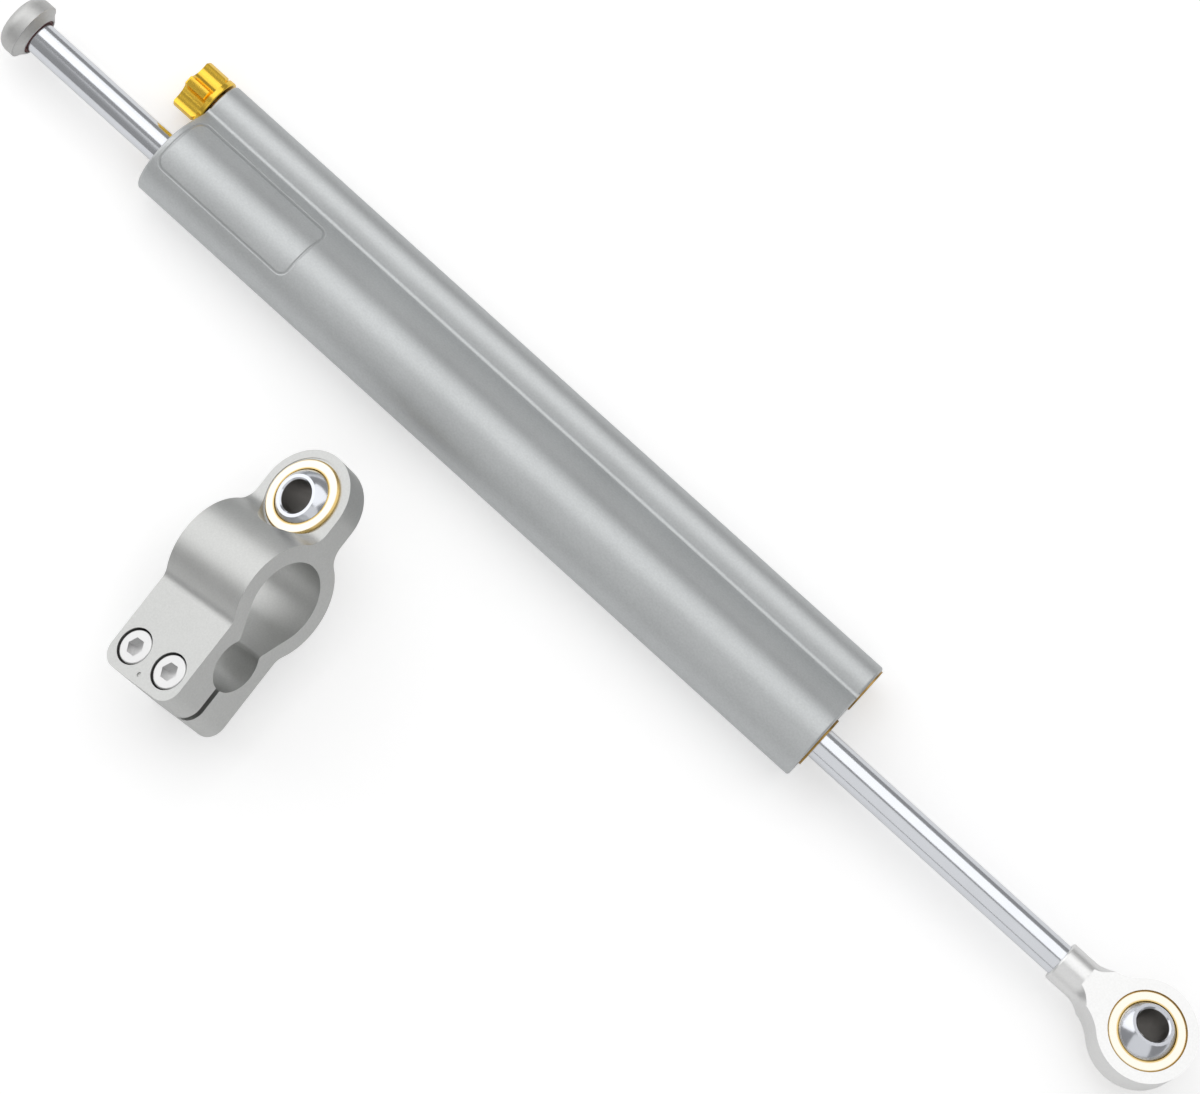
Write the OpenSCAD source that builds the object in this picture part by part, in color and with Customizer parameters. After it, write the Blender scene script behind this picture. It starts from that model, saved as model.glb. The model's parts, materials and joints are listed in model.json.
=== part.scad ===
// Linear steering damper for a motorcycle, with its barrel clamp beside it.
// The rod lies along X and the centre of its eye is the origin. +Z is up, and
// the twin-barrel body lies with both barrels on the ground.

/* [Body] */
// Length of the twin-barrel body
body_len = 204; // [170:1:260]
// Bore that the piston runs in
bore_d = 16.4; // [15.6:0.1:18]
// Wall round the main bore
main_wall = 2.2; // [2:0.1:3.2]
// Bore that holds the adjuster cartridge and the channel plug
cartridge_d = 10; // [9.8:0.1:10.6]
// Wall round the cartridge
side_wall = 1.6; // [1.2:0.1:2.2]
// Distance between the axes of the two barrels
barrel_gap = 17.7; // [16.8:0.1:19]
// Bore of the oil channel along the side barrel
channel_d = 5; // [3:0.1:6]
// Lean of the flats that join the two barrels
flat_lean = 60; // [56:1:64]
// Fillet where a flat meets the side barrel
crease_r = 1.2; // [0.6:0.1:2]
// Rounding of the body's end edges
edge_r = 0.7; // [0.3:0.1:0.9]
// Bore of the two oil ports
port_d = 2.5; // [1.5:0.1:3]

/* [Rod] */
// Diameter of the rod
rod_d = 8; // [7.6:0.1:8.2]
// Rod that shows between the body and the eye's socket
eye_reach = 74; // [50:1:90]
// Rod that shows between the body and the button
button_reach = 41.2; // [30:0.1:60]
// Diameter of the threaded stud at each end
stud_d = 6; // [4:0.5:6.5]
// Length of the stud in the eye
eye_stud = 8.5; // [6:0.5:9]
// Length of the stud in the button
button_stud = 3.2; // [2:0.1:3.6]
// Depth of full-diameter rod in each socket
rod_sink = 2.2; // [1.5:0.1:2.5]

/* [Button] */
// Diameter of the button
button_d = 15; // [13:0.1:18]
// Length of the button
button_len = 7; // [6.6:0.1:10]
// Rounding of the button's outer edge
button_round = 3.2; // [2:0.1:3.6]
// Bevel of the button's inner face, along the rod
button_bevel = 1.6; // [0.8:0.1:2]

/* [Rod eye] */
// Diameter of the eye
eye_d = 24.2; // [23.4:0.1:28]
// Thickness of the eye between its faces
eye_t = 9; // [8.6:0.1:9.8]
// Diameter of the socket that the rod screws into
socket_d = 10.2; // [9.9:0.1:12]
// Distance from the socket's mouth to the eye's centre
socket_reach = 25; // [24:0.5:32]
// Fillet between the socket and the eye
eye_fillet = 12; // [8:0.5:14]
// Radius of the cutter that faces the eye
eye_facing = 18.2; // [17:0.1:19]
// Lean of the eye about the rod, as it lies
eye_roll = 6.4; // [0:0.1:20]

/* [Spherical bearings] */
// Diameter of the ball
ball_d = 15.875; // [15.4:0.005:16.2]
// Width of the ball between its faces
ball_w = 12; // [11:0.1:12.6]
// Bore of the ball, for the mounting bolt
ball_bore = 8; // [6:0.1:8.4]
// Outer diameter of the race
race_d = 18.8; // [18.4:0.1:19.6]
// Width of the race
race_w = 8.4; // [7.4:0.1:8.6]
// Lean of the rod eye's ball in its race
eye_ball_lean = 15.5; // [0:0.5:16]
// Lean of the clamp's ball in its race
clamp_ball_lean = 8; // [0:0.5:12]

/* [Seal heads] */
// Depth of each seal head in the body
head_len = 18.3; // [18:0.1:24]
// Depth of the step that the head seats on
head_step = 0.3; // [0.2:0.05:0.4]
// Diameter of the boss that stands out round the rod
boss_d = 13.4; // [12.4:0.1:13.8]
// Height of that boss above the end of the body
boss_out = 0.5; // [0.2:0.1:1]
// Outer diameter of the rod wiper
wiper_d = 10.4; // [9.8:0.1:11]
// Length of the rod wiper
wiper_len = 2.6; // [2:0.1:2.8]
// Outer diameter of the rod seal
seal_d = 12; // [11:0.1:12.6]
// Length of the rod seal
seal_len = 3.4; // [2.4:0.1:3.6]
// Wall of the rod bush
bush_wall = 0.95; // [0.8:0.05:1.3]
// Length of the rod bush
bush_len = 8; // [6:0.1:9]
// Thickness of the retaining rings
clip_t = 1; // [0.8:0.1:1.2]

/* [Piston] */
// Length of the piston
piston_len = 12; // [9:0.5:18]
// Length of the piston's sliding band
band_len = 5; // [3:0.1:6]
// Thickness of the band
band_t = 0.8; // [0.5:0.05:1]
// Section of the ring under the band
band_ring_d = 1; // [0.8:0.05:1.2]
// Height of the snap rings above the rod
snap_out = 1.6; // [1:0.1:2.2]
// Depth of the snap rings in the rod
snap_in = 0.5; // [0.3:0.05:0.7]

/* [Adjuster] */
// Diameter of the knob
knob_d = 13.4; // [12:0.1:15]
// Length of the knob
knob_len = 8; // [7.4:0.1:12]
// Number of finger flutes
knob_flutes = 5; // [4:1:6]
// Radius of a flute
flute_r = 3.5; // [2.6:0.1:3.8]
// Depth of a flute
flute_depth = 2.4; // [1:0.1:2.5]
// Thickness of the knob's flange
knob_flange = 1.3; // [1:0.1:1.8]
// Gap between the knob and the body
knob_gap = 0.5; // [0.3:0.1:1]
// Diameter of the spindle
spindle_d = 5; // [4.6:0.1:5.2]
// Length of the cartridge housing
housing_len = 20; // [18:0.5:21]
// Start of the needle seat, from the end of the body
seat_start = 26; // [25.5:0.5:28]
// Length of the needle seat
seat_len = 4; // [3:0.5:6]
// Side of the needle's square shank
shank_w = 3.6; // [2.8:0.1:3.8]
// Number of clicks in a turn
clicks = 16; // [8:1:24]

/* [Clamp] */
// Width of the clamp along the barrel
clamp_w = 24; // [23:0.5:28]
// Wall of the clamp round the barrel
clamp_wall = 4.3; // [3:0.1:6]
// Thickness of the clamp's eye
clamp_eye_t = 7; // [6:0.1:8.4]
// Distance from the barrel's axis to the eye's centre
clamp_eye_reach = 21.8; // [21:0.1:26]
// Thickness of the clamp's foot
foot_t = 21; // [20:0.5:24]
// Distance from the barrel's axis to the end of the foot
foot_reach = 34.6; // [33.6:0.1:38]
// Distance from the barrel's axis to the screws
screw_reach = 27.9; // [27.6:0.1:29]
// Distance between the two screws
screw_gap = 12; // [10.5:0.1:12.6]
// Diameter of the screws
screw_d = 5; // [4:0.1:5]
// Rounding of the foot's corners
foot_round = 4.5; // [2:0.1:5]
// Width of the slit
slit_w = 1.6; // [1:0.1:2.5]
// Where the middle of the clamp lies, along the rod
clamp_x = -218.2; // [-260:0.1:-160]
// Where the middle of the clamp lies, across the rod
clamp_y = -62.4; // [-110:0.1:-55]
// Turns of the clamp about X, Y and Z, as it lies
clamp_turn = [-82.4, -30.9, 1.1];

/* [Fits] */
// Radial clearance of what slides or turns
run = 0.05; // [0.02:0.01:0.08]
// Radial clearance of what is pressed or seated
seat = 0.02; // [0.01:0.01:0.04]
// Clearance between the clamp and the barrel
clamp_play = 0.1; // [0.05:0.01:0.2]
// Gap left at each end of the stroke
stop_gap = 0.5; // [0.3:0.1:1]

/* [Hidden] */
$fn = 96;
cut = 1;

main_r = bore_d / 2 + main_wall;
side_r = cartridge_d / 2 + side_wall;
head_r = bore_d / 2 + head_step;
cartridge_r = cartridge_d / 2;
rod_r = rod_d / 2;
body_x1 = -socket_reach - eye_reach;
body_x0 = body_x1 - body_len;
button_x = body_x0 - button_reach;
// Angle at which both barrels touch the ground
body_lie = asin((main_r - side_r) / barrel_gap);

satin = [0.66, 0.67, 0.67];
chrome = [0.8, 0.81, 0.84];
gold = [0.86, 0.65, 0.16];
pale_gold = [0.85, 0.78, 0.58];
steel = [0.6, 0.6, 0.62];
black = [0.08, 0.08, 0.08];

// Frames

// Z runs along the rod, X points from the main barrel to the side barrel
module barrel_frame() {
    rotate([0, 90, 0]) rotate([0, 0, 90 - body_lie]) children();
}

// Both ends of the main barrel, with Z pointing into the body
module both_ends() {
    barrel_frame() {
        translate([0, 0, body_x0]) children();
        translate([0, 0, body_x1]) mirror([0, 0, 1]) children();
    }
}

// The adjuster's axis, with Z pointing into the body
module cartridge_frame() {
    barrel_frame() translate([barrel_gap, 0, body_x0]) children();
}

// The channel plug's axis, with Z pointing into the body
module plug_frame() {
    barrel_frame() translate([barrel_gap, 0, body_x1]) mirror([0, 0, 1]) children();
}

// Z runs along the rod
module rod_frame(x = 0) {
    translate([x, 0, 0]) rotate([0, 90, 0]) children();
}

// Z runs through the rod eye
module eye_frame() {
    rotate([-eye_roll, 0, 0]) children();
}

// X runs through the clamp, Z points from the barrel to the eye
module clamp_frame() {
    translate([clamp_x, clamp_y, clamp_z]) rotate(clamp_turn) children();
}

// Shared shapes

module ring(r_out, r_in, h) {
    difference() {
        cylinder(r = r_out, h = h);
        translate([0, 0, -cut]) cylinder(r = r_in, h = h + 2 * cut);
    }
}

module o_ring(r, section_r, z = 0) {
    translate([0, 0, z]) rotate_extrude() translate([r, 0]) circle(r = section_r, $fn = 32);
}

// Ring with a gap, so that it can be sprung into its groove
module open_ring(r_out, r_in, h, gap) {
    difference() {
        ring(r_out, r_in, h);
        translate([0, -gap / 2, -cut]) cube([r_out + cut, gap, h + 2 * cut]);
    }
}

module round_bar(r, h, e) {
    rotate_extrude() {
        square([r - e, h]);
        translate([0, e]) square([r, h - 2 * e]);
        for (z = [e, h - e]) translate([r - e, z]) circle(r = e);
    }
}

module hex_socket(across, depth) {
    translate([0, 0, -cut]) cylinder(d = across / cos(30), h = depth + cut, $fn = 6);
}

// Fills the corners between a disc at the origin and a bar that runs along +Y
module neck_fillet(r, half, f) {
    y = sqrt(pow(r + f, 2) - pow(half + f, 2));
    centre = [half + f, y];
    for (side = [0, 1]) mirror([side, 0]) difference() {
        polygon([[0, 0], centre * r / (r + f), centre, [half, y], [0, y]]);
        translate(centre) circle(r = f);
    }
}

// Body

// Outline of the two barrels and the flats between them, grown by a clearance
flat_n = [cos(flat_lean), sin(flat_lean)];
flat_m = [sin(flat_lean), -cos(flat_lean)];
// How far the flats sink into the barrels, so that the surfaces cross
nip = 0.01;

// Distance along a flat to the centre of its fillet
function fillet_run(r, s, f) =
    barrel_gap * sin(flat_lean) - sqrt(pow(s + f, 2) - pow(r + f - barrel_gap * cos(flat_lean), 2));

module web_outline(grow = 0) {
    r = main_r + grow - nip;
    s = side_r + grow - nip;
    t = fillet_run(r, s, crease_r);
    centre = flat_n * (r + crease_r) + flat_m * t;
    side_axis = [barrel_gap, 0];
    touch = side_axis + (centre - side_axis) * s / (s + crease_r);
    for (side = [0, 1]) mirror([0, side]) difference() {
        polygon([[0, 0], flat_n * r, flat_n * r + flat_m * t, centre, touch, side_axis]);
        translate(centre) circle(r = crease_r + nip);
    }
}

module body_outline(grow = 0) {
    circle(r = main_r + grow);
    translate([barrel_gap, 0]) circle(r = side_r + grow);
    web_outline(grow);
}

// Bevels the ends of the flats, where the round edges of the barrels stop
module flat_bevels() {
    t = fillet_run(main_r, side_r, crease_r);
    bevel = edge_r * 0.8;
    for (side = [0, 1], z = [0, body_len]) mirror([0, side, 0])
        rotate([0, 0, flat_lean]) translate([main_r, -t / 2, z]) rotate([0, 45, 0])
            cube([bevel, t, bevel], center = true);
}

module body_blank() {
    difference() {
        union() {
            round_bar(main_r, body_len, edge_r);
            translate([barrel_gap, 0, 0]) round_bar(side_r, body_len, edge_r);
            linear_extrude(body_len) web_outline();
        }
        flat_bevels();
    }
}

clip_start = 0.75;
clip_out = 0.4;
clip_groove = clip_t + 2 * run;
port_x = head_len + 4;
plug_len = 8.5;

module head_seat() {
    translate([0, 0, -cut]) cylinder(r = head_r, h = head_len + cut);
    translate([0, 0, clip_start - run]) cylinder(r = head_r + clip_out + run, h = clip_groove);
}

module oil_port() {
    translate([0, 0, port_x]) rotate([0, 90, 0]) cylinder(d = port_d, h = barrel_gap);
}

module body_tube() {
    color(satin) difference() {
        barrel_frame() translate([0, 0, body_x0]) body_blank();
        rod_frame(body_x0 - cut) cylinder(d = bore_d, h = body_len + 2 * cut);
        both_ends() {
            head_seat();
            oil_port();
        }
        cartridge_frame() {
            translate([0, 0, -cut]) cylinder(d = channel_d, h = body_len + 2 * cut);
            translate([0, 0, -cut]) cylinder(r = cartridge_r, h = seat_start + seat_len + cut);
        }
        plug_frame() translate([0, 0, -cut]) cylinder(r = cartridge_r, h = plug_len + cut);
    }
}

// Seal heads

shoulder = clip_start + clip_t + run;
head_play = 0.1;
wiper_end = wiper_len + head_play - boss_out;
seal_start = wiper_end + 1.4;
seal_end = seal_start + seal_len + 2 * head_play;
bush_start = head_len - bush_len;
bush_r = rod_r + run + bush_wall;
rod_hole_r = rod_r + 0.3;
oring_r = 0.55;
groove_w = 2 * oring_r + 0.3;
groove_depth = 2 * oring_r + run;
head_groove = bush_start + bush_len / 3;

module head() {
    rotate_extrude() difference() {
        union() {
            translate([rod_hole_r, shoulder]) square([head_r - seat - rod_hole_r, head_len - shoulder]);
            translate([rod_hole_r, -boss_out]) square([boss_d / 2 - rod_hole_r, shoulder + boss_out + run]);
        }
        translate([0, -boss_out - cut]) square([wiper_d / 2, wiper_end + boss_out + cut]);
        translate([0, seal_start]) square([seal_d / 2, seal_end - seal_start]);
        translate([0, bush_start]) square([bush_r + seat, bush_len + cut]);
        translate([head_r - seat - groove_depth, head_groove]) square([groove_depth + cut, groove_w]);
    }
}

module button_side_head() {
    color(gold) barrel_frame() translate([0, 0, body_x0]) head();
}

module eye_side_head() {
    color(gold) barrel_frame() translate([0, 0, body_x1]) mirror([0, 0, 1]) head();
}

module head_orings() {
    r = head_r - seat - groove_depth + oring_r + run / 2;
    color(black) both_ends() o_ring(r, oring_r, head_groove + groove_w / 2);
}

module head_clips() {
    clip_w = head_r + clip_out - boss_d / 2 - 2 * run;
    color(steel) both_ends() translate([0, 0, clip_start])
        open_ring(head_r + clip_out, head_r + clip_out - clip_w, clip_t, 3);
}

module rod_bushes() {
    color([0.55, 0.42, 0.28]) both_ends() translate([0, 0, bush_start])
        ring(bush_r, rod_r + run, bush_len);
}

// U-shaped seal with its lips towards the oil
module rod_seals() {
    lip = seal_len / 2;
    mid_r = (seal_d / 2 + rod_r) / 2;
    color(black) both_ends() translate([0, 0, seal_start + head_play]) difference() {
        ring(seal_d / 2 - seat, rod_r + run, seal_len);
        translate([0, 0, seal_len - lip]) ring(mid_r + 0.3, mid_r - 0.3, lip + cut);
    }
}

// Scraper with a bevelled lip at the rod
module rod_wipers() {
    color(black) both_ends() translate([0, 0, -boss_out]) rotate_extrude() polygon([
        [rod_r + run, 0.2], [rod_r + run, wiper_len], [wiper_d / 2 - seat, wiper_len],
        [wiper_d / 2 - seat, 0.5], [rod_r + run + 0.3, 0.2]
    ]);
}

// Channel plug

plug_flange = 0.4;
plug_groove = 5;

module channel_plug() {
    color(gold) plug_frame() difference() {
        union() {
            translate([0, 0, -plug_flange]) cylinder(r = side_r - edge_r, h = plug_flange);
            cylinder(r = cartridge_r - seat, h = plug_len - head_play);
        }
        translate([0, 0, plug_groove]) ring(cartridge_r + cut, cartridge_r - seat - groove_depth, groove_w);
        translate([0, 0, -plug_flange]) hex_socket(4, 3);
    }
}

module plug_oring() {
    r = cartridge_r - seat - groove_depth + oring_r + run / 2;
    color(black) plug_frame() o_ring(r, oring_r, plug_groove + groove_w / 2);
}

// Adjuster: the knob turns the spindle, whose thread moves the square needle

spindle_r = spindle_d / 2;
detent_ring_r = (spindle_r + cartridge_r) / 2;
detent_ball_r = 0.75;
detent_depth = 3.4;
spindle_ring_r = 0.42;
spindle_groove = 4.4;
chamber_start = 7;
chamber_r = 3.25;
collar_end = 13;
collar_r = chamber_r - 2 * run;
thread_r = 1.6;
housing_groove = housing_len - 4;
square_start = 14;
needle_r = 1.3;
orifice_r = 1;

module cartridge_housing() {
    color(gold) cartridge_frame() difference() {
        cylinder(r = cartridge_r - seat, h = housing_len);
        translate([0, 0, -cut]) cylinder(r = spindle_r + run, h = housing_len);
        for (a = [0, 180]) rotate([0, 0, a]) translate([detent_ring_r, 0, -cut])
            cylinder(r = detent_ball_r + run, h = detent_depth + cut, $fn = 32);
        translate([0, 0, spindle_groove]) cylinder(r = spindle_r + 2 * spindle_ring_r + 2 * run, h = 1.1);
        translate([0, 0, chamber_start]) cylinder(r = chamber_r, h = square_start - chamber_start);
        translate([0, 0, housing_groove])
            ring(cartridge_r + cut, cartridge_r - seat - groove_depth, groove_w);
        needle_way();
    }
}

// Square way that keeps the needle from turning
module needle_way() {
    w = shank_w + 4 * run;
    translate([-w / 2, -w / 2, square_start - cut]) cube([w, w, housing_len]);
}

module housing_oring() {
    r = cartridge_r - seat - groove_depth + oring_r + run / 2;
    color(black) cartridge_frame() o_ring(r, oring_r, housing_groove + groove_w / 2);
}

module spindle_oring() {
    color(black) cartridge_frame()
        o_ring(spindle_r + spindle_ring_r + run, spindle_ring_r, spindle_groove + 0.55);
}

module needle_seat() {
    color(steel) cartridge_frame() translate([0, 0, seat_start]) difference() {
        ring(cartridge_r - seat, orifice_r, seat_len);
        translate([0, 0, -run]) cylinder(r1 = orifice_r + 1, r2 = orifice_r, h = 0.8);
    }
}

module detent_balls() {
    color(steel) cartridge_frame() for (a = [0, 180]) rotate([0, 0, a])
        translate([detent_ring_r, 0, -run]) sphere(r = detent_ball_r, $fn = 32);
}

// Springs under the detent balls, each one swept wire of closed turns
spring_r = 0.5;
spring_wire_r = 0.12;
spring_turns = 5;
spring_rings = 10;
spring_sides = 6;
spring_start = detent_ball_r + spring_wire_r + run;
spring_len = detent_depth - spring_start - spring_wire_r - run;

function spring_ring(i) =
    let (a = 360 * i / spring_rings, z = spring_len * i / (spring_turns * spring_rings))
    [for (j = [0 : spring_sides - 1])
        let (b = 360 * j / spring_sides, r = spring_r + spring_wire_r * cos(b))
        [r * cos(a), r * sin(a), z + spring_wire_r * sin(b)]];

module spring() {
    n = spring_turns * spring_rings;
    points = [for (i = [0 : n]) each spring_ring(i)];
    walls = [for (i = [0 : n - 1], j = [0 : spring_sides - 1])
        let (k = (j + 1) % spring_sides, a = i * spring_sides, b = a + spring_sides)
        each [[a + j, b + j, b + k], [a + j, b + k, a + k]]];
    first = [for (j = [0 : spring_sides - 1]) j];
    last = [for (j = [spring_sides - 1 : -1 : 0]) n * spring_sides + j];
    polyhedron(points, concat(walls, [first, last]));
}

module detent_springs() {
    color(steel) cartridge_frame() for (a = [0, 180]) rotate([0, 0, a])
        translate([detent_ring_r, 0, spring_start]) spring();
}

// Outward distance that the spindle reaches into the knob
spindle_out = knob_gap + knob_len - 1.6;
knob_turn = 115;
grub_r = 1.2;
grub_z = knob_len * 0.55;

module adjuster_spindle() {
    color(steel) cartridge_frame() difference() {
        union() {
            translate([0, 0, -spindle_out]) cylinder(r = spindle_r, h = spindle_out + chamber_start + run);
            translate([0, 0, chamber_start + run]) cylinder(r = collar_r, h = collar_end - chamber_start - run);
        }
        translate([0, 0, chamber_start + 0.5]) cylinder(r = thread_r, h = collar_end);
    }
}

// Outward frame of the knob, from its flange to its outer end
module knob_frame() {
    cartridge_frame() mirror([0, 0, 1]) translate([0, 0, knob_gap]) children();
}

module knob_flute(a, from_z) {
    rotate([0, 0, a]) translate([knob_d / 2 - flute_depth + flute_r, 0, from_z])
        cylinder(r = flute_r, h = knob_len);
}

module adjuster_knob() {
    r = knob_d / 2;
    relief = 0.7;
    track_depth = 0.5;
    color(gold) knob_frame() difference() {
        round_bar(r, knob_len, 0.4);
        for (i = [0 : knob_flutes - 1]) knob_flute(knob_turn + 360 * (i + 0.5) / knob_flutes, knob_flange);
        rotate_extrude() polygon([
            [r + cut, knob_flange], [r - relief, knob_flange + relief / 2],
            [r + cut, knob_flange + relief + cut]
        ]);
        translate([0, 0, -cut]) cylinder(r = spindle_r + seat, h = knob_len - 1.6 + run + cut);
        rotate_extrude() translate([detent_ring_r - 0.9, -cut]) square([1.8, track_depth + cut]);
        for (i = [0 : clicks - 1]) rotate([0, 0, 360 * i / clicks])
            translate([detent_ring_r, 0, 0]) cylinder(r = 0.35, h = track_depth + 0.2, $fn = 24);
        rotate([0, 0, knob_turn + 180]) translate([0, 0, grub_z]) rotate([0, 90, 0])
            cylinder(r = grub_r + seat, h = r, $fn = 32);
    }
}

module knob_screw() {
    reach = knob_d / 2 - flute_depth - spindle_r - 2 * run;
    color(steel) knob_frame() rotate([0, 0, knob_turn + 180])
        translate([spindle_r + run, 0, grub_z]) rotate([0, 90, 0]) difference() {
            cylinder(r = grub_r, h = reach, $fn = 32);
            translate([0, 0, reach]) mirror([0, 0, 1]) hex_socket(1.3, 0.8);
        }
}

module needle() {
    shank_end = housing_len - 0.5;
    tip_start = seat_start - 1.5;
    color(steel) cartridge_frame() {
        translate([0, 0, collar_end - 4.5]) cylinder(r = thread_r - run, h = square_start - collar_end + 5);
        translate([-shank_w / 2, -shank_w / 2, square_start + 0.5])
            cube([shank_w, shank_w, shank_end - square_start - 0.5]);
        translate([0, 0, shank_end - run]) cylinder(r = needle_r, h = tip_start - shank_end + run);
        translate([0, 0, tip_start]) cylinder(r1 = needle_r, r2 = 0.3, h = 3);
    }
}

// Piston

// The piston is in the middle of the bore when the rod is at mid-stroke
piston_x = (body_x0 + body_x1) / 2 + (eye_reach - button_reach) / 2;
band_r = bore_d / 2 - run;
band_floor = band_r - band_t - band_ring_d - 2 * run;

module piston() {
    color(satin) rod_frame(piston_x - piston_len / 2) difference() {
        round_bar(bore_d / 2 - 0.25, piston_len, 0.4);
        translate([0, 0, -cut]) cylinder(r = rod_r + run, h = piston_len + 2 * cut);
        translate([0, 0, (piston_len - band_len) / 2 - run])
            ring(bore_d, band_floor, band_len + 2 * run);
    }
}

module piston_band() {
    color([0.45, 0.3, 0.2]) rod_frame(piston_x - band_len / 2) ring(band_r, band_r - band_t, band_len);
}

module piston_oring() {
    color(black) rod_frame(piston_x) o_ring(band_floor + run + band_ring_d / 2, band_ring_d / 2);
}

snap_x = [piston_x - piston_len / 2 - run - clip_t, piston_x + piston_len / 2 + run];

module snap_rings() {
    color(steel) for (x = snap_x) rod_frame(x)
        open_ring(rod_r + snap_out, rod_r - snap_in + run, clip_t, 3);
}

// Rod and what is screwed on it

module rod() {
    x0 = button_x - rod_sink;
    x1 = -socket_reach + rod_sink;
    color(chrome) difference() {
        union() {
            rod_frame(x0) round_bar(rod_r, x1 - x0, 0.3);
            rod_frame(x0 - button_stud) cylinder(d = stud_d, h = button_stud + cut);
            rod_frame(x1 - cut) cylinder(d = stud_d, h = eye_stud + cut);
        }
        for (x = snap_x) rod_frame(x - run) ring(rod_r + cut, rod_r - snap_in, clip_t + 2 * run);
    }
}

bumper_r = 0.4;

// Z runs outwards from the button's inner face
module button_frame() {
    translate([button_x, 0, 0]) rotate([0, -90, 0]) children();
}

module end_button() {
    r = button_d / 2;
    mouth_r = rod_r + 2 * bumper_r + 2 * run;
    color(satin) button_frame() rotate_extrude() difference() {
        union() {
            square([r - button_round, button_len]);
            square([r, button_len - button_round]);
            translate([r - button_round, button_len - button_round]) circle(r = button_round);
        }
        translate([0, -cut]) square([rod_r + seat, rod_sink + seat + cut]);
        translate([0, -cut]) square([mouth_r, 2 * bumper_r + run + cut]);
        translate([0, 0]) square([stud_d / 2 + seat, rod_sink + button_stud + 0.3]);
        polygon([[mouth_r, -cut], [r + cut, -cut], [r + cut, button_bevel + 0.4], [r - 0.5, button_bevel],
            [mouth_r + 0.4, 0]]);
    }
}

module button_oring() {
    color([0.25, 0.1, 0.09]) button_frame() o_ring(rod_r + bumper_r + run, bumper_r, bumper_r + run / 2);
}

// Blank of the eye seen from its side: a disc, its neck and the fillets between
module eye_outline() {
    circle(d = eye_d);
    rotate([0, 0, 90]) {
        translate([-socket_d / 2, 0]) square([socket_d, socket_reach]);
        neck_fillet(eye_d / 2, socket_d / 2, eye_fillet);
    }
}

// Turned envelope of the eye: a round socket that flares into the head
module eye_turning() {
    flare = 6;
    flare_x = eye_facing + 0.3;
    rotate([0, -90, 0]) rotate_extrude() {
        translate([0, flare_x]) square([socket_d / 2 - 0.5, socket_reach - flare_x]);
        translate([0, flare_x]) square([socket_d / 2, socket_reach - flare_x - 0.5]);
        translate([socket_d / 2 - 0.5, socket_reach - 0.5]) circle(r = 0.5);
        difference() {
            translate([0, flare_x - flare]) square([socket_d / 2 + flare, flare]);
            translate([socket_d / 2 + flare, flare_x]) circle(r = flare);
        }
        translate([0, -eye_d]) square([eye_d, eye_d + flare_x - flare]);
    }
}

module rod_eye() {
    tall = eye_d;
    color(satin) difference() {
        eye_frame() intersection() {
            linear_extrude(tall, center = true) eye_outline();
            eye_turning();
        }
        eye_frame() {
            for (side = [0, 1]) mirror([0, 0, side]) translate([0, 0, eye_t / 2])
                cylinder(r = eye_facing, h = tall);
            cylinder(d = race_d + 2 * seat, h = tall, center = true);
        }
        rod_frame(-socket_reach - cut) cylinder(r = rod_r + seat, h = rod_sink + seat + cut);
        rod_frame(-socket_reach) cylinder(d = stud_d + 2 * seat, h = rod_sink + eye_stud + 0.4);
    }
}

// Spherical bearings

// Race with a spherical seat and small bevels on its edges
module race() {
    bevel = 0.35;
    half = race_w / 2;
    outer = race_d / 2;
    rotate_extrude() difference() {
        polygon([
            [ball_bore / 2, -half], [outer - bevel, -half], [outer, bevel - half],
            [outer, half - bevel], [outer - bevel, half], [ball_bore / 2, half]
        ]);
        circle(d = ball_d + 2 * run);
        square([2 * seat_mouth(), race_w + cut], center = true);
    }
}

// Radius of the race's mouth, a little wider than its seat at the face
function seat_mouth() = sqrt(pow(ball_d / 2 + run, 2) - pow(race_w / 2, 2)) + 0.15;

module ball() {
    half = ball_w / 2;
    bevel = 0.4;
    rotate_extrude() difference() {
        intersection() {
            circle(d = ball_d);
            translate([0, -half]) square([ball_d, ball_w]);
        }
        square([ball_bore, ball_d], center = true);
        for (side = [0, 1]) mirror([0, side]) polygon([
            [ball_bore / 2 - cut, half - bevel - cut], [ball_bore / 2 - cut, half + cut],
            [ball_bore / 2 + bevel + cut, half + cut]
        ]);
    }
}

module eye_race() {
    color(pale_gold) eye_frame() race();
}

module eye_ball() {
    color(chrome) eye_frame() rotate([-eye_ball_lean, 0, 0]) ball();
}

// Clamp

clamp_r = main_r + clamp_play + clamp_wall;
head_screw_r = screw_d * 0.85;
head_screw_h = screw_d;
sink_depth = head_screw_h + 0.3;
// Spot face round each end of the race
spot_r = race_d / 2 + 0.6;
spot_depth = 0.15;

// Height of the clamp's middle at which its ring and its foot both clear the ground
clamp_up = [-sin(clamp_turn[1]), cos(clamp_turn[1]) * sin(clamp_turn[0]),
    cos(clamp_turn[1]) * cos(clamp_turn[0])];
foot_corner = [clamp_w / 2 - foot_round, foot_t / 2, foot_reach - foot_round];
foot_drop = foot_corner[0] * abs(clamp_up[0]) + foot_corner[1] * abs(clamp_up[1])
    + foot_corner[2] * abs(clamp_up[2]) + foot_round * norm([clamp_up[0], clamp_up[2]]);
ring_drop = clamp_w / 2 * abs(clamp_up[0]) + clamp_r * norm([clamp_up[1], clamp_up[2]]);
clamp_drop = max(foot_drop, ring_drop);
clamp_z = clamp_drop - main_r;

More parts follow.
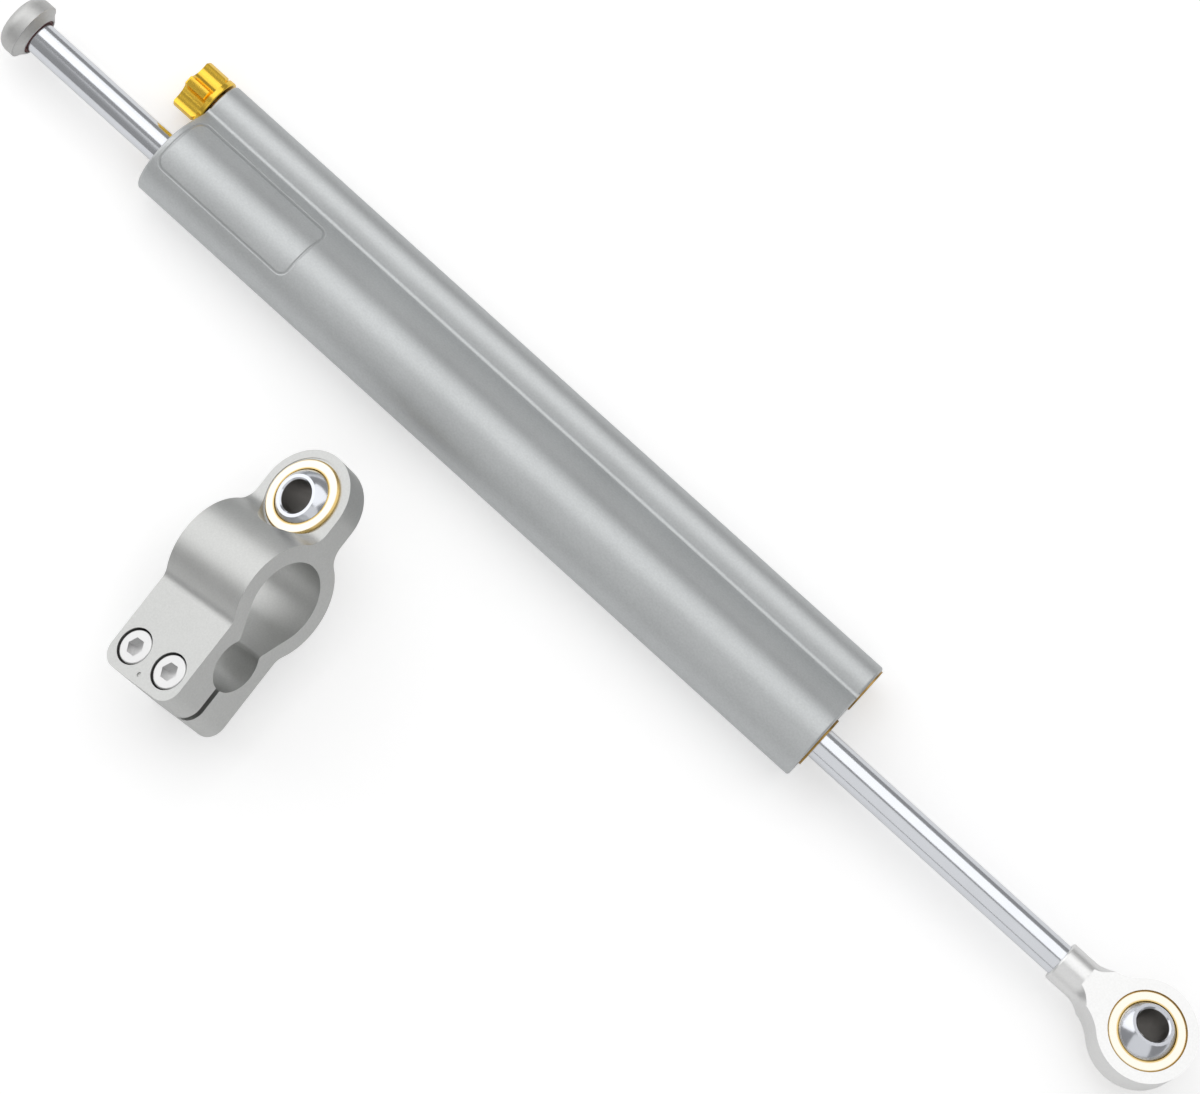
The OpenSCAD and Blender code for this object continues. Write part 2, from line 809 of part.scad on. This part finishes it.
// Seen along the barrel: the ring, the eye's plate above it and the foot below
module clamp_side() {
    circle(r = clamp_r);
    translate([-clamp_eye_t / 2, 0]) square([clamp_eye_t, clamp_eye_reach + clamp_w / 2]);
    neck_fillet(clamp_r, clamp_eye_t / 2, 5);
    translate([-foot_t / 2, -foot_reach]) square([foot_t, foot_reach]);
    mirror([0, 1]) neck_fillet(clamp_r, foot_t / 2, 4);
}

// Seen along the eye: round at the eye, with rounded corners at the foot
module clamp_front() {
    w = clamp_w / 2;
    translate([0, clamp_eye_reach]) circle(r = w);
    translate([-w, foot_round - foot_reach]) square([clamp_w, clamp_eye_reach + foot_reach - foot_round]);
    translate([foot_round - w, -foot_reach]) square([clamp_w - 2 * foot_round, foot_reach]);
    for (side = [-1, 1]) translate([side * (w - foot_round), foot_round - foot_reach])
        circle(r = foot_round);
}

// Places a shape on each screw's axis, with Z running back from the front face
module at_screws() {
    for (side = [-1, 1]) translate([side * screw_gap / 2, -foot_t / 2, -screw_reach])
        rotate([-90, 0, 0]) children();
}

module clamp_cuts() {
    rotate([90, 0, 90]) translate([0, 0, -clamp_w]) linear_extrude(2 * clamp_w)
        rotate([0, 0, -90]) body_outline(clamp_play);
    translate([-clamp_w, -slit_w / 2, -foot_reach - cut])
        cube([2 * clamp_w, slit_w, foot_reach + cut - barrel_gap]);
    translate([0, 0, clamp_eye_reach]) rotate([90, 0, 0]) {
        cylinder(d = race_d + 2 * seat, h = clamp_w, center = true);
        for (side = [0, 1]) mirror([0, 0, side]) translate([0, 0, clamp_eye_t / 2 - spot_depth])
            cylinder(r = spot_r, h = clamp_w);
    }
    at_screws() {
        translate([0, 0, -cut]) cylinder(r = head_screw_r + 0.35, h = sink_depth + cut);
        cylinder(d = screw_d + 0.4, h = foot_t / 2);
        cylinder(d = screw_d + 2 * seat, h = foot_t + cut);
    }
    translate([0, -foot_t / 2 - cut, -foot_reach + 2.2]) rotate([-90, 0, 0])
        cylinder(d = 1.2, h = cut + 0.35, $fn = 32);
}

module clamp() {
    color(satin) clamp_frame() difference() {
        intersection() {
            rotate([90, 0, 90]) linear_extrude(clamp_w, center = true) clamp_side();
            rotate([90, 0, 0]) linear_extrude(2 * clamp_w, center = true) clamp_front();
        }
        clamp_cuts();
    }
}

module clamp_screws() {
    color(steel) clamp_frame() at_screws() {
        translate([0, 0, sink_depth - head_screw_h]) difference() {
            round_bar(head_screw_r, head_screw_h, 0.4);
            hex_socket(screw_d * 0.8, head_screw_h / 2);
        }
        translate([0, 0, sink_depth - seat]) cylinder(d = screw_d - seat, h = foot_t - sink_depth - 1.5);
    }
}

module clamp_eye_frame() {
    clamp_frame() translate([0, 0, clamp_eye_reach]) rotate([90, 0, 0]) children();
}

module clamp_race() {
    color(pale_gold) clamp_eye_frame() race();
}

module clamp_ball() {
    color(chrome) clamp_eye_frame() rotate([clamp_ball_lean, 0, 0]) ball();
}

// Travel of the rod from where it lies, towards the eye and towards the button
echo(travel_out = button_reach - boss_out - stop_gap, travel_in = eye_reach - boss_out - stop_gap);

body_tube();
button_side_head();
eye_side_head();
head_orings();
head_clips();
rod_bushes();
rod_seals();
rod_wipers();
channel_plug();
plug_oring();
cartridge_housing();
housing_oring();
needle_seat();
spindle_oring();
detent_balls();
detent_springs();
adjuster_knob();
adjuster_spindle();
knob_screw();
needle();
piston();
piston_band();
piston_oring();
rod();
snap_rings();
end_button();
button_oring();
rod_eye();
eye_race();
eye_ball();
clamp();
clamp_screws();
clamp_race();
clamp_ball();
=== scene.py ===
import json
import math

import bpy
from mathutils import Euler, Matrix, Vector

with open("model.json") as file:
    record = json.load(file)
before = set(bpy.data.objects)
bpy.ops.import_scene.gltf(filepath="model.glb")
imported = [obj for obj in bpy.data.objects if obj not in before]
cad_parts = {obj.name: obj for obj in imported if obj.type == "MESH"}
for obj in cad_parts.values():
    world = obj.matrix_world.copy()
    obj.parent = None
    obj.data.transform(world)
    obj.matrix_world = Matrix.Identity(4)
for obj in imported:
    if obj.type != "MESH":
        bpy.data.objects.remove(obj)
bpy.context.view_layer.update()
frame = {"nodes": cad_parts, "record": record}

MM = 0.001


def angles(*degrees):
    return Euler([math.radians(d) for d in degrees], "XYZ").to_matrix()


# Place and turn of each race and ball, as part.scad has them, in millimetres and degrees
EYE_ROLL, EYE_BALL_LEAN, CLAMP_BALL_LEAN = 6.4, 15.5, 8.0
CLAMP_AT = Vector((-218.2, -62.4, 8.46186))
CLAMP_TURN = angles(-82.4, -30.9, 1.1)
CLAMP_EYE_REACH = 21.8
CLAMP_EYE = CLAMP_AT + CLAMP_TURN @ Vector((0, 0, CLAMP_EYE_REACH))
BEARINGS = {
    "eye_race": (Vector(), angles(-EYE_ROLL, 0, 0)),
    "eye_ball": (Vector(), angles(-EYE_ROLL - EYE_BALL_LEAN, 0, 0)),
    "clamp_race": (CLAMP_EYE, CLAMP_TURN @ angles(90, 0, 0)),
    "clamp_ball": (CLAMP_EYE, CLAMP_TURN @ angles(90 + CLAMP_BALL_LEAN, 0, 0)),
}
RACE_R, RACE_MOUTH_R, BALL_BORE_R = 9.4, 6.94, 4.0

# Rounded frame engraved on the body near the button, in millimetres and degrees; its line is bumped as a
# groove and painted darker as painted shade
BODY_START = -303.0
PANEL = {
    "centre": (BODY_START + 21.6, 3.7),
    "half": (19.9, 7.3),
    "corner": 2.2,
    "width": 0.42,
    "lean": 12.8,
}

# Depths of the bumps, in metres
BLAST_DEPTH, GRIT_DEPTH, GROOVE_DEPTH = 0.05 * MM, 0.08 * MM, 0.18 * MM
HAIRLINE_DEPTH, TURNED_DEPTH, RUBBER_DEPTH = 0.02 * MM, 0.03 * MM, 0.04 * MM


# Materials

def socket(node, name, value):
    node.inputs[name].default_value = value


class Mat:
    """A Principled material whose nodes are added by short calls."""

    def __init__(self, name, color, metallic, roughness, **values):
        self.mat = bpy.data.materials.new(name)
        self.mat.use_nodes = True
        self.nodes, self.links = self.mat.node_tree.nodes, self.mat.node_tree.links
        self.bsdf = self.nodes["Principled BSDF"]
        socket(self.bsdf, "Base Color", (*color, 1))
        socket(self.bsdf, "Metallic", metallic)
        socket(self.bsdf, "Roughness", roughness)
        for key, value in values.items():
            socket(self.bsdf, key.replace("_", " "), value)
        self.coord = self.nodes.new("ShaderNodeTexCoord").outputs["Object"]

    def feed(self, node, key, value):
        """Links an output to an input, or sets a plain value on it."""
        if hasattr(value, "is_linked"):
            self.links.new(value, node.inputs[key])
        else:
            node.inputs[key].default_value = value

    def noise(self, scale, detail=3.0, rough=0.55, vector=None):
        """Noise with this many features a metre."""
        node = self.nodes.new("ShaderNodeTexNoise")
        socket(node, "Scale", scale)
        socket(node, "Detail", detail)
        socket(node, "Roughness", rough)
        self.links.new(vector or self.coord, node.inputs["Vector"])
        return node.outputs["Fac"]

    def hairlines(self, scale):
        """Noise drawn out into lines by a scale of its own on each axis."""
        node = self.nodes.new("ShaderNodeMapping")
        socket(node, "Scale", scale)
        self.links.new(self.coord, node.inputs["Vector"])
        return self.noise(1.0, 3.0, 0.5, node.outputs["Vector"])

    def spread(self, value, low, high, from_low=0.3, from_high=0.7):
        node = self.nodes.new("ShaderNodeMapRange")
        socket(node, "From Min", from_low)
        socket(node, "From Max", from_high)
        socket(node, "To Min", low)
        socket(node, "To Max", high)
        self.links.new(value, node.inputs["Value"])
        return node.outputs["Result"]

    def blend(self, factor, a, b):
        node = self.nodes.new("ShaderNodeMix")
        node.data_type = "RGBA"
        self.links.new(factor, node.inputs[0])
        for key, value in ((6, a), (7, b)):
            self.feed(node, key, value if hasattr(value, "is_linked") else (*value, 1))
        return node.outputs[2]

    def tint(self, factor, color, low, high=1.0):
        """The colour times low where the factor is 0, and times high where it is 1."""
        return self.blend(factor, [c * low for c in color], [min(1, c * high) for c in color])

    def math(self, op, a, b=0.0):
        node = self.nodes.new("ShaderNodeMath")
        node.operation = op
        self.feed(node, 0, a)
        self.feed(node, 1, b)
        return node.outputs[0]

    def weigh(self, a, share_a, b, share_b):
        return self.math("ADD", self.math("MULTIPLY", a, share_a), self.math("MULTIPLY", b, share_b))

    def length(self, a, b):
        squares = self.math("MULTIPLY", a, a), self.math("MULTIPLY", b, b)
        return self.math("SQRT", self.math("ADD", *squares))

    def split(self, vector):
        node = self.nodes.new("ShaderNodeSeparateXYZ")
        self.links.new(vector, node.inputs[0])
        return node.outputs

    def local(self, place, turn):
        """Coordinates in millimetres in a frame that has this place, in millimetres, and this turn."""
        node = self.nodes.new("ShaderNodeMapping")
        node.vector_type = "TEXTURE"
        socket(node, "Location", place * MM)
        socket(node, "Rotation", turn.to_euler("XYZ"))
        socket(node, "Scale", (MM, MM, MM))
        self.links.new(self.coord, node.inputs["Vector"])
        return self.split(node.outputs["Vector"])

    def to(self, name, value):
        self.links.new(value, self.bsdf.inputs[name])

    def bump(self, *layers):
        """Each layer is (height, strength, distance in metres)."""
        normal = None
        for height, strength, distance in layers:
            node = self.nodes.new("ShaderNodeBump")
            socket(node, "Strength", strength)
            socket(node, "Distance", distance)
            self.links.new(height, node.inputs["Height"])
            if normal is not None:
                self.links.new(normal, node.inputs["Normal"])
            normal = node.outputs["Normal"]
        self.to("Normal", normal)


def engraved_frame(m, centre, half, corner, width, lean):
    """1 in the line of a rounded frame on the upper side of the body, seen square on, and 0 elsewhere."""
    x, across, height = m.local(Vector(), angles(lean, 0, 0))
    dx, dy = (
        m.math("SUBTRACT", m.math("ABSOLUTE", m.math("SUBTRACT", value, middle)), size - corner)
        for value, middle, size in zip((x, across), centre, half)
    )
    outside = m.length(m.math("MAXIMUM", dx, 0.0), m.math("MAXIMUM", dy, 0.0))
    inside = m.math("MINIMUM", m.math("MAXIMUM", dx, dy), 0.0)
    edge = m.math("SUBTRACT", m.math("ADD", outside, inside), corner)
    line = m.spread(m.math("ABSOLUTE", edge), 1.0, 0.0, width * 0.35, width)
    return m.math("MULTIPLY", line, m.math("GREATER_THAN", height, 0.0))


def satin(name, color, roughness, grain=1.0, panel=None):
    """Bead-blasted and anodised aluminium: fine matt grain with a faint drift of tone, and painted shade
    along an engraved frame when a panel is given.
    """
    m = Mat(name, color, 1.0, roughness)
    fine = m.noise(5200, 2.0, 0.6)
    grit = m.noise(2100, 2.0, 0.5)
    cloud = m.noise(38, 4.0, 0.6)
    tone = m.spread(m.weigh(cloud, 0.45, grit, 0.55), 0.0, 1.0)
    shade = m.tint(tone, color, 1 - 0.09 * grain, 1 + 0.08 * grain)
    matt = m.weigh(cloud, 0.4, fine, 0.6)
    m.to("Roughness", m.spread(matt, roughness * 0.91, roughness * 1.09))
    layers = [(fine, 0.22 * grain, BLAST_DEPTH), (grit, 0.2 * grain, GRIT_DEPTH)]
    if panel:
        groove = engraved_frame(m, **panel)
        # Painted shade: the colour darkens along the engraved frame line, as shade in its groove.
        shade = m.blend(m.math("MULTIPLY", groove, 0.5), shade, [c * 0.7 for c in color])
        layers.append((m.math("SUBTRACT", 1.0, groove), 0.9, GROOVE_DEPTH))
    m.to("Base Color", shade)
    m.bump(*layers)
    return m.mat


def polished(name, color, roughness, scale, wear):
    """Ground and polished metal: hairlines along the piece and a trace of haze."""
    m = Mat(name, color, 1.0, roughness)
    lines = m.hairlines(scale)
    haze = m.noise(160, 3.0, 0.6)
    m.to("Roughness", m.spread(m.weigh(lines, 0.5, haze, 0.5), roughness, roughness + wear))
    m.to("Base Color", m.tint(m.spread(haze, 0, 1), color, 0.97))
    m.bump((lines, 0.012, HAIRLINE_DEPTH))
    return m.mat


def turned(name, color, roughness, pitch, axis):
    """Lathe-turned metal: rings about an axis through the origin, pitch radians a metre apart."""
    m = Mat(name, color, 1.0, roughness)
    parts = m.split(m.coord)
    radius = m.length(*(parts[i] for i in range(3) if i != axis))
    rings = m.math("SINE", m.math("MULTIPLY", m.math("ADD", radius, parts[axis]), pitch))
    grain = m.noise(3800, 2.0, 0.6)
    cloud = m.noise(120, 3.0, 0.6)
    m.to("Roughness", m.spread(cloud, roughness - 0.04, roughness + 0.05))
    m.to("Base Color", m.tint(m.spread(cloud, 0, 1), color, 0.94, 1.03))
    m.bump((rings, 0.1, TURNED_DEPTH), (grain, 0.06, TURNED_DEPTH))
    return m.mat


def rubber(name, color, roughness):
    m = Mat(name, color, 0.0, roughness, Specular_IOR_Level=0.4)
    fine = m.noise(3000, 3.0, 0.6)
    cloud = m.noise(300, 3.0, 0.6)
    m.to("Roughness", m.spread(cloud, roughness - 0.07, roughness + 0.08))
    m.to("Base Color", m.tint(m.spread(fine, 0, 1), color, 0.8, 1.15))
    m.bump((fine, 0.2, RUBBER_DEPTH))
    return m.mat


def race(name, place, turn):
    """Brass race whose turned face is painted pale as a painted highlight, between two thin gold bands, at
    its bore and at its outer edge.
    """
    # Painted highlight: the pale colour of the turned face stands in for the white highlight on the brass;
    # the gold bands are the brass itself.
    painted_highlight, gold = (0.92, 0.88, 0.78), (0.72, 0.52, 0.20)
    m = Mat(name, painted_highlight, 1.0, 0.28)
    x, y, _ = m.local(place, turn)
    radius = m.length(x, y)
    rings = m.math("SINE", m.math("MULTIPLY", radius, 38.0))
    bore_band = m.spread(radius, 1.0, 0.0, RACE_MOUTH_R + 0.15, RACE_MOUTH_R + 0.45)
    outer_band = m.spread(radius, 0.0, 1.0, RACE_R - 0.55, RACE_R - 0.25)
    cloud = m.noise(420, 3.0, 0.6)
    face = m.tint(m.spread(cloud, 0, 1), painted_highlight, 0.95)
    m.to("Base Color", m.blend(m.math("MAXIMUM", bore_band, outer_band), face, gold))
    m.to("Roughness", m.spread(cloud, 0.24, 0.34))
    m.bump((rings, 0.06, TURNED_DEPTH), (cloud, 0.05, TURNED_DEPTH))
    return m.mat


def ball(name, place, turn):
    """Polished sphere whose bore is rougher and painted dark as painted shade."""
    # Painted shade: the bore wall gets a dark colour for the shade inside the hole.
    chrome, painted_bore_shade = (0.74, 0.76, 0.81), (0.20, 0.19, 0.18)
    m = Mat(name, chrome, 1.0, 0.1)
    x, y, z = m.local(place, turn)
    inner = m.spread(m.length(x, y), 1.0, 0.0, BALL_BORE_R + 0.02, BALL_BORE_R + 0.12)
    haze = m.noise(380, 3.0, 0.6)
    rings = m.math("SINE", m.math("MULTIPLY", z, 24.0))
    m.to("Base Color", m.blend(inner, m.tint(m.spread(haze, 0, 1), chrome, 0.97), painted_bore_shade))
    polish = m.spread(haze, 0.16, 0.2)
    m.to("Roughness", m.math("ADD", polish, m.math("MULTIPLY", inner, 0.32)))
    m.bump((m.math("MULTIPLY", rings, inner), 0.2, TURNED_DEPTH), (haze, 0.02, HAIRLINE_DEPTH))
    return m.mat


# What makes each material slot, with its colour, its roughness and what else its maker takes
RECIPES = {
    "body_satin": (satin, (0.60, 0.617, 0.622), 0.50, 1.0, PANEL),
    "clamp_satin": (satin, (0.60, 0.605, 0.595), 0.42, 0.8),
    "eye_satin": (satin, (0.87, 0.87, 0.865), 0.38, 0.5),
    "button_satin": (satin, (0.62, 0.62, 0.612), 0.5, 0.7),
    "rod_chrome": (polished, (0.80, 0.82, 0.86), 0.15, (40, 900, 900), 0.015),
    "ball_chrome": (ball, *BEARINGS["eye_ball"]),
    "race_gold": (race, *BEARINGS["eye_race"]),
    "knob_gold": (satin, (1.0, 0.65, 0.08), 0.24, 0.08),
    "head_gold": (turned, (0.46, 0.29, 0.09), 0.34, 6000, 0),
    "screw_steel": (turned, (0.70, 0.70, 0.70), 0.3, 6000, 2),
    "inner_steel": (turned, (0.58, 0.58, 0.60), 0.28, 6000, 0),
    "piston_alloy": (turned, (0.60, 0.61, 0.62), 0.3, 5000, 0),
    "bush_bronze": (turned, (0.52, 0.38, 0.22), 0.4, 5000, 0),
    "band_polymer": (rubber, (0.30, 0.17, 0.09), 0.45),
    "seal_rubber": (rubber, (0.02, 0.02, 0.021), 0.45),
    "bumper_rubber": (rubber, (0.10, 0.018, 0.014), 0.5),
}
materials = {slot: make(slot, *values) for slot, (make, *values) in RECIPES.items()}

# The clamp's bearing has the slots of the eye's, in a frame of its own
own = {
    "clamp_ball": ball("clamp_ball_chrome", *BEARINGS["clamp_ball"]),
    "clamp_race": race("clamp_race_gold", *BEARINGS["clamp_race"]),
}

slot_of = {part["node"]: part["material_slot"] for part in frame["record"]["subparts"]}
for name, obj in frame["nodes"].items():
    mat = own.get(name) or materials[slot_of[name]]
    for slot in obj.material_slots:
        slot.material = mat
    if not obj.material_slots:
        obj.data.materials.append(mat)


# Floor, just under the knob's lowest tooth

FLOOR_Z = -10.51 * MM
FLOOR_SIZE = 6.0
FLOOR_GLOW = {"Is Camera Ray": 0.42, "Is Glossy Ray": 0.16, "Is Transmission Ray": 0.42}


def floor_material():
    """Pale floor that adds a glow for the rays that see it, so that it shows white and keeps the shadow."""
    m = Mat("floor_white", (0.75, 0.75, 0.75), 0.0, 0.9, Specular_IOR_Level=0.1)
    ripple = m.nodes.new("ShaderNodeTexNoise")
    socket(ripple, "Scale", 40.0)
    m.bump((ripple.outputs["Fac"], 0.02, MM))
    rays = m.nodes.new("ShaderNodeLightPath").outputs
    parts = [m.math("MULTIPLY", rays[ray], strength) for ray, strength in FLOOR_GLOW.items()]
    glow = m.nodes.new("ShaderNodeEmission")
    socket(glow, "Color", (1, 1, 1, 1))
    m.links.new(m.math("ADD", m.math("ADD", parts[0], parts[1]), parts[2]), glow.inputs["Strength"])
    both = m.nodes.new("ShaderNodeAddShader")
    m.links.new(m.bsdf.outputs[0], both.inputs[0])
    m.links.new(glow.outputs[0], both.inputs[1])
    m.links.new(both.outputs[0], m.nodes["Material Output"].inputs["Surface"])
    return m.mat


def sheet(name, size, z):
    half = size / 2
    corners = [(-half, -half, z), (half, -half, z), (half, half, z), (-half, half, z)]
    mesh = bpy.data.meshes.new(name)
    mesh.from_pydata(corners, [], [(0, 1, 2, 3)])
    obj = bpy.data.objects.new(name, mesh)
    bpy.context.collection.objects.link(obj)
    return obj


floor = sheet("floor", FLOOR_SIZE, FLOOR_Z)
floor.data.materials.append(floor_material())


# Light

world = bpy.data.worlds.new("studio")
bpy.context.scene.world = world
world.use_nodes = True
background = world.node_tree.nodes["Background"]
socket(background, "Color", (1, 1, 1, 1))
socket(background, "Strength", 0.30)

MIDDLE = Vector((-0.18, -0.01, 0.0))
# Place and size of each square lamp in metres, and its watts
LAMPS = {
    "key": ((-1.35, 0.1, 0.78), 1.7, 9.5),
    "top": ((-0.1, 0.75, 1.5), 2.0, 11.4),
    "fill": ((0.3, -1.0, 0.9), 1.9, 5.6),
}
for name, (place, size, watts) in LAMPS.items():
    data = bpy.data.lights.new(name, "AREA")
    data.energy = watts
    data.shape = "SQUARE"
    data.size = size
    obj = bpy.data.objects.new(name, data)
    obj.location = place
    obj.rotation_euler = (MIDDLE - Vector(place)).to_track_quat("-Z", "Y").to_euler()
    bpy.context.collection.objects.link(obj)


# Camera, fitted to points of the photograph

CAMERA_LENS = 119.526
CAMERA_AT = Vector((-92.52, -203.7, 892.6)) * MM
CAMERA_RIGHT = Vector((0.73923, 0.66728, 0.09095)).normalized()
CAMERA_BACK = Vector((0.08016, -0.22127, 0.97191))

camera = bpy.data.objects.new("camera", bpy.data.cameras.new("camera"))
bpy.context.collection.objects.link(camera)
camera.data.sensor_width = 36.0
camera.data.lens = CAMERA_LENS
camera.data.clip_start = 0.05
camera.data.clip_end = 20.0
back = (CAMERA_BACK - CAMERA_RIGHT * CAMERA_BACK.dot(CAMERA_RIGHT)).normalized()
turn = Matrix((CAMERA_RIGHT, back.cross(CAMERA_RIGHT), back)).transposed().to_4x4()
camera.matrix_world = Matrix.Translation(CAMERA_AT) @ turn
bpy.context.scene.camera = camera

bpy.context.scene.view_settings.view_transform = "Standard"
